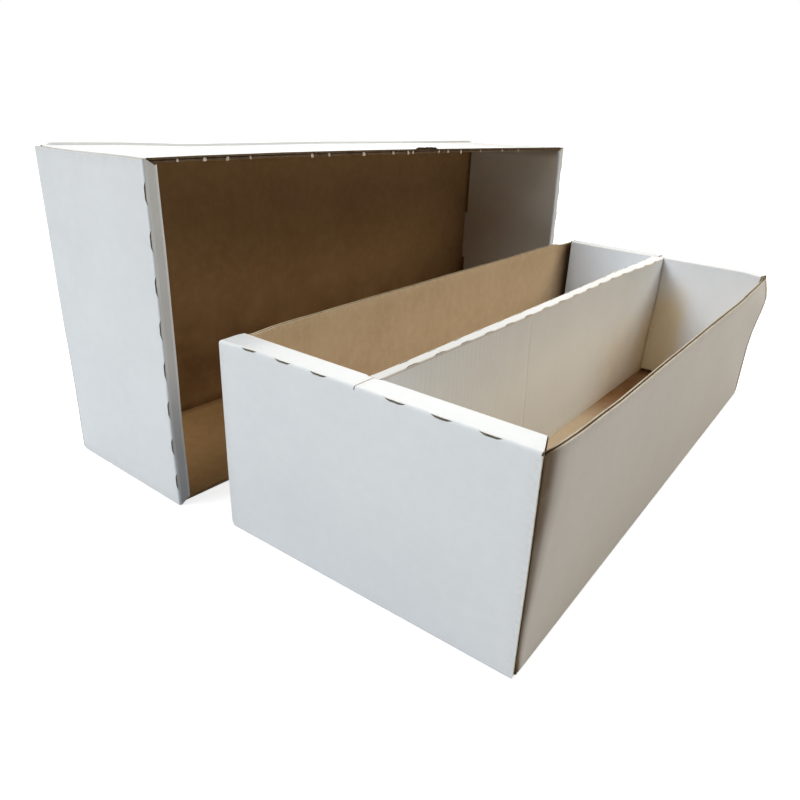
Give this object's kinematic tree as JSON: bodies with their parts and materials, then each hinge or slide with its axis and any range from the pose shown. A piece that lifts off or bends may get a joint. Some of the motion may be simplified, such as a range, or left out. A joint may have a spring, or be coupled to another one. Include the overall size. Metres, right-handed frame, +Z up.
{
  "type": "card storage box",
  "caption": "Two-row storage box for trading cards, of white-faced corrugated board: open tray with a folded divider and roll-over ends, and a full-depth lid standing beside it.",
  "frame": {"origin": "centre of the tray's underside, on the surface that the box stands on", "axes": "+Z up, +Y along the tray from its front end to its back end, +X to the tray's right"},
  "size_m": [0.2933, 0.395, 0.1726],
  "materials": {
    "tray_board": "matte",
    "divider_board": "matte",
    "lid_board": "matte"
  },
  "bodies": {
    "tray": {"tray_bottom": "tray_board", "tray_left_wall": "tray_board", "tray_right_wall": "tray_board", "tray_front_left_flap": "tray_board", "tray_front_right_flap": "tray_board", "tray_back_left_flap": "tray_board", "tray_back_right_flap": "tray_board", "tray_front_end": "tray_board", "tray_back_end": "tray_board", "divider_ridge": "divider_board", "divider_left_leaf": "divider_board", "divider_right_leaf": "divider_board", "divider_front_left_flange": "divider_board", "divider_front_right_flange": "divider_board", "divider_back_left_flange": "divider_board", "divider_back_right_flange": "divider_board"},
    "tray_front_left_rim": {"tray_front_left_rim": "tray_board"},
    "tray_front_left_inner_panel": {"tray_front_left_inner_panel": "tray_board"},
    "tray_front_right_rim": {"tray_front_right_rim": "tray_board"},
    "tray_front_right_inner_panel": {"tray_front_right_inner_panel": "tray_board"},
    "tray_back_left_rim": {"tray_back_left_rim": "tray_board"},
    "tray_back_left_inner_panel": {"tray_back_left_inner_panel": "tray_board"},
    "tray_back_right_rim": {"tray_back_right_rim": "tray_board"},
    "tray_back_right_inner_panel": {"tray_back_right_inner_panel": "tray_board"},
    "lid": {"lid_top": "lid_board", "lid_upper_wall": "lid_board", "lid_lower_wall": "lid_board", "lid_near_upper_flap": "lid_board", "lid_near_lower_flap": "lid_board", "lid_far_upper_flap": "lid_board", "lid_far_lower_flap": "lid_board", "lid_near_end": "lid_board", "lid_far_end": "lid_board"},
    "lid_near_rim": {"lid_near_rim": "lid_board"},
    "lid_near_inner_panel": {"lid_near_inner_panel": "lid_board"},
    "lid_far_rim": {"lid_far_rim": "lid_board"},
    "lid_far_inner_panel": {"lid_far_inner_panel": "lid_board"}
  },
  "joints": [
    {"name": "tray_front_left_rim_fold", "type": "hinge", "parent": "tray", "child": "tray_front_left_rim", "pos_m": [0, -0.1885, 0.1], "axis": [1, 0, 0], "range_deg": [0, 90]},
    {"name": "tray_front_left_inner_panel_fold", "type": "hinge", "parent": "tray_front_left_rim", "child": "tray_front_left_inner_panel", "pos_m": [0, -0.1752, 0.1], "axis": [1, 0, 0], "range_deg": [0, 90]},
    {"name": "tray_front_right_rim_fold", "type": "hinge", "parent": "tray", "child": "tray_front_right_rim", "pos_m": [0, -0.1885, 0.1], "axis": [1, 0, 0], "range_deg": [0, 90]},
    {"name": "tray_front_right_inner_panel_fold", "type": "hinge", "parent": "tray_front_right_rim", "child": "tray_front_right_inner_panel", "pos_m": [0, -0.1752, 0.1], "axis": [1, 0, 0], "range_deg": [0, 90]},
    {"name": "tray_back_left_rim_fold", "type": "hinge", "parent": "tray", "child": "tray_back_left_rim", "pos_m": [0, 0.1885, 0.1], "axis": [-1, 0, 0], "range_deg": [0, 90]},
    {"name": "tray_back_left_inner_panel_fold", "type": "hinge", "parent": "tray_back_left_rim", "child": "tray_back_left_inner_panel", "pos_m": [0, 0.1752, 0.1], "axis": [-1, 0, 0], "range_deg": [0, 90]},
    {"name": "tray_back_right_rim_fold", "type": "hinge", "parent": "tray", "child": "tray_back_right_rim", "pos_m": [0, 0.1885, 0.1], "axis": [-1, 0, 0], "range_deg": [0, 90]},
    {"name": "tray_back_right_inner_panel_fold", "type": "hinge", "parent": "tray_back_right_rim", "child": "tray_back_right_inner_panel", "pos_m": [0, 0.1752, 0.1], "axis": [-1, 0, 0], "range_deg": [0, 90]},
    {"name": "lid_lift", "type": "slide", "parent": "tray", "child": "lid", "axis": [0, 0, 1], "range_m": [0, 0.25]},
    {"name": "lid_near_rim_fold", "type": "hinge", "parent": "lid", "child": "lid_near_rim", "pos_m": [-0.1159, -0.1942, 0.0863], "axis": [0, 0, -1], "range_deg": [0, 90]},
    {"name": "lid_near_inner_panel_fold", "type": "hinge", "parent": "lid_near_rim", "child": "lid_near_inner_panel", "pos_m": [-0.1157, -0.1872, 0.0863], "axis": [0, 0, -1], "range_deg": [0, 90]},
    {"name": "lid_far_rim_fold", "type": "hinge", "parent": "lid", "child": "lid_far_rim", "pos_m": [-0.1046, 0.19804, 0.0863], "axis": [0, 0, 1], "range_deg": [0, 90]},
    {"name": "lid_far_inner_panel_fold", "type": "hinge", "parent": "lid_far_rim", "child": "lid_far_inner_panel", "pos_m": [-0.1048, 0.19104, 0.0863], "axis": [0, 0, 1], "range_deg": [0, 90]}
  ]
}
